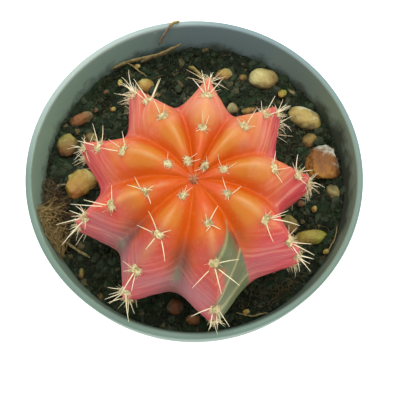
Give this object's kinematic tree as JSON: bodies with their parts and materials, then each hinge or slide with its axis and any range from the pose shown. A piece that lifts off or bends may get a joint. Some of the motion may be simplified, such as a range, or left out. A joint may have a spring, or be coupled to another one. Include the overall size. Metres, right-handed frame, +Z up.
{
  "type": "potted moon cactus",
  "caption": "Star-shaped ribbed moon cactus, orange and coral, grafted low on a green rootstock in a round tapered nursery pot of peaty soil with pebbles and bark.",
  "frame": {"origin": "centre of the pot's foot, on the surface that it stands on", "axes": "+Z up along the pot's axis; -Y is the side that faces the viewer in the picture; +X is to the viewer's right"},
  "size_m": [0.085, 0.085, 0.0969],
  "materials": {
    "pot_plastic": "satin",
    "soil": "matte",
    "scion_flesh": "satin",
    "rootstock_flesh": "satin",
    "tan_stone": "matte",
    "cream_stone": "matte",
    "rust_stone": "matte",
    "olive_stone": "matte",
    "plant_litter": "matte"
  },
  "bodies": {
    "root": {"pot": "pot_plastic", "soil": "soil", "scion": "scion_flesh", "rootstock": "rootstock_flesh", "pebble_tan_oval": "tan_stone", "pebble_amber": "tan_stone", "pebble_small_amber": "tan_stone", "pebble_cream_oval": "cream_stone", "pebble_ochre": "tan_stone", "pebble_rust_rock": "rust_stone", "pebble_beige": "cream_stone", "pebble_broad_tan": "tan_stone", "pebble_round_tan": "tan_stone", "pebble_brown_curved": "rust_stone", "pebble_gold": "tan_stone", "pebble_small_gold": "tan_stone", "pebble_white_chip": "cream_stone", "pebble_brown_chip": "tan_stone", "pebble_olive_long": "olive_stone", "pebble_olive_round": "olive_stone", "pebble_red_round": "rust_stone", "pebble_dusk_beige": "tan_stone", "pebble_orange_chip": "rust_stone", "pebble_grey_chip": "cream_stone", "bark_strip": "plant_litter", "root_fibre": "plant_litter", "stick": "plant_litter", "root_mat": "plant_litter"}
  },
  "joints": []
}
